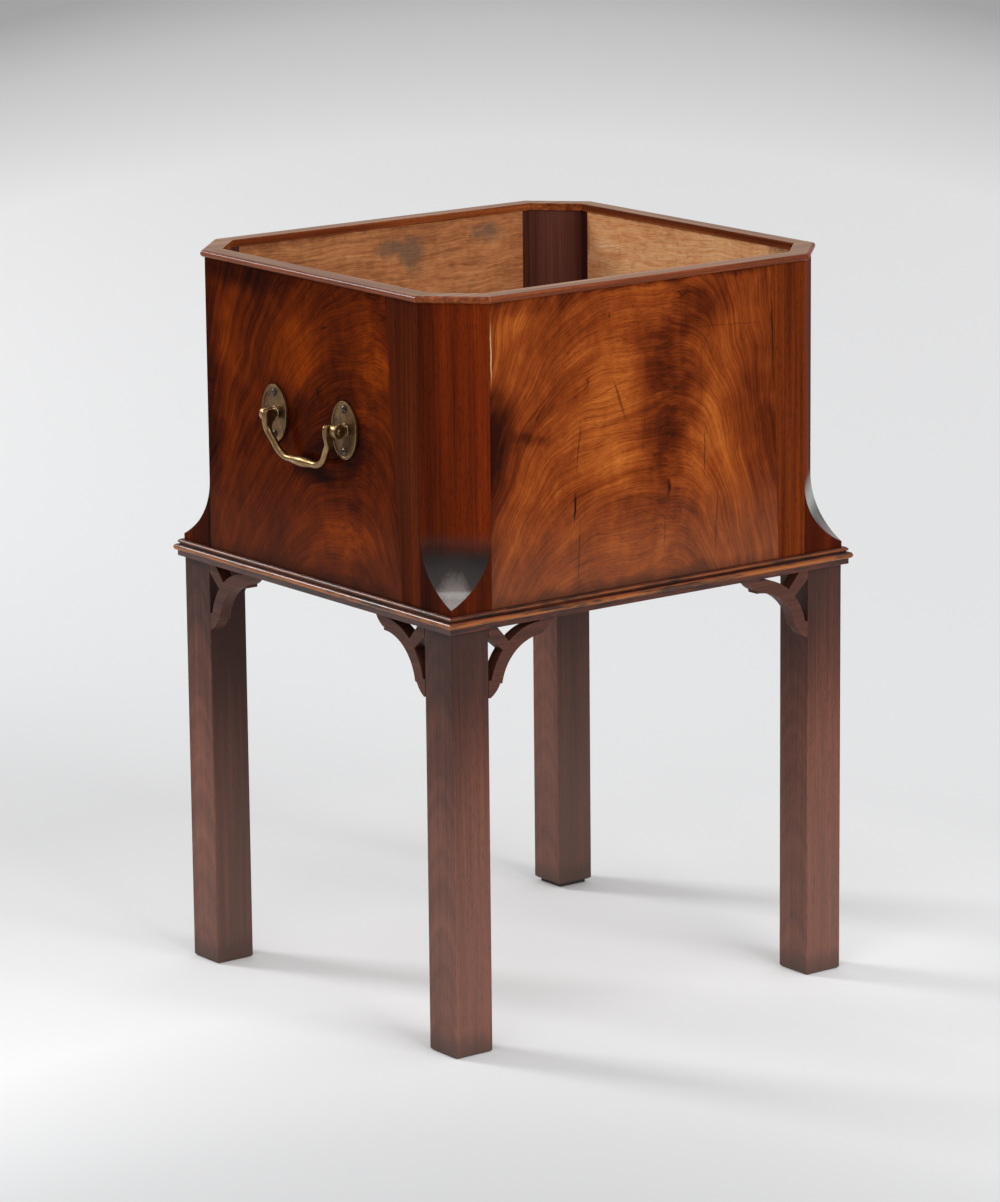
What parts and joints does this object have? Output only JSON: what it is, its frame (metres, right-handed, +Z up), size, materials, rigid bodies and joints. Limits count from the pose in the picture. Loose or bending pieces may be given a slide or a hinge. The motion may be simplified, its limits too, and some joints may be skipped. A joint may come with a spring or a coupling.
{
  "type": "cellarette",
  "caption": "Open mahogany cellarette: a canted box with hollow-stopped corners and brass bail handles, on a stand with square legs and pierced angle brackets.",
  "frame": {"origin": "on the floor, under the middle of the case", "axes": "+Z up, front face at -Y, handles at -X and +X"},
  "size_m": [0.4722, 0.4188, 0.66],
  "materials": {
    "mahogany_flame_veneer": "polished crotch-figured mahogany leaf, red-brown, warm gloss",
    "mahogany_plain_veneer": "polished straight-grained mahogany strip",
    "polished_mahogany": "dark polished solid mahogany",
    "moulded_mahogany": "worn, polished mahogany moulding with dark hollows",
    "stand_mahogany": "dry, waxed red-brown mahogany of the stand",
    "bare_mahogany_boards": "unpolished light brown boards inside the case",
    "aged_brass": "old lacquered brass, olive with bright wear",
    "dark_brass_pins": "nearly black patinated brass heads",
    "leather_pad": "thin dark packing under one foot"
  },
  "bodies": {
    "root": {"back_veneer": "mahogany_flame_veneer", "back_veneer_strip": "mahogany_plain_veneer", "back_wall": "bare_mahogany_boards", "backplate_pins": "dark_brass_pins", "backplates": "aged_brass", "base_moulding_back": "moulded_mahogany", "base_moulding_front": "moulded_mahogany", "base_moulding_left": "moulded_mahogany", "base_moulding_right": "moulded_mahogany", "bottom_board": "bare_mahogany_boards", "bracket_back_left": "stand_mahogany", "bracket_back_right": "stand_mahogany", "bracket_front_left": "stand_mahogany", "bracket_front_right": "stand_mahogany", "bracket_left_back": "stand_mahogany", "bracket_left_front": "stand_mahogany", "bracket_right_back": "stand_mahogany", "bracket_right_front": "stand_mahogany", "corner_post_back_left": "polished_mahogany", "corner_post_back_right": "polished_mahogany", "corner_post_front_left": "polished_mahogany", "corner_post_front_right": "polished_mahogany", "foot_pad_back_right": "leather_pad", "front_veneer": "mahogany_flame_veneer", "front_veneer_strip": "mahogany_plain_veneer", "front_wall": "bare_mahogany_boards", "handle_nuts": "aged_brass", "handle_posts": "aged_brass", "left_veneer": "mahogany_flame_veneer", "left_veneer_strip": "mahogany_plain_veneer", "left_wall": "bare_mahogany_boards", "leg_back_left": "stand_mahogany", "leg_back_right": "stand_mahogany", "leg_front_left": "stand_mahogany", "leg_front_right": "stand_mahogany", "rail_back": "stand_mahogany", "rail_front": "stand_mahogany", "rail_left": "stand_mahogany", "rail_right": "stand_mahogany", "right_veneer": "mahogany_flame_veneer", "right_veneer_strip": "mahogany_plain_veneer", "right_wall": "bare_mahogany_boards", "rim_back": "polished_mahogany", "rim_corner_back_left": "polished_mahogany", "rim_corner_back_right": "polished_mahogany", "rim_corner_front_left": "polished_mahogany", "rim_corner_front_right": "polished_mahogany", "rim_front": "polished_mahogany", "rim_left": "polished_mahogany", "rim_right": "polished_mahogany"},
    "left_bail": {"left_bail": "aged_brass"},
    "right_bail": {"right_bail": "aged_brass"}
  },
  "joints": [
    {"name": "left_bail_swing", "type": "hinge", "parent": "root", "child": "left_bail", "pos_m": [-0.2257, 0, 0.529], "axis": [0, 1, 0], "range_deg": [-8, 104]},
    {"name": "right_bail_swing", "type": "hinge", "parent": "root", "child": "right_bail", "pos_m": [0.2257, 0, 0.529], "axis": [0, -1, 0], "range_deg": [-8, 104]}
  ]
}
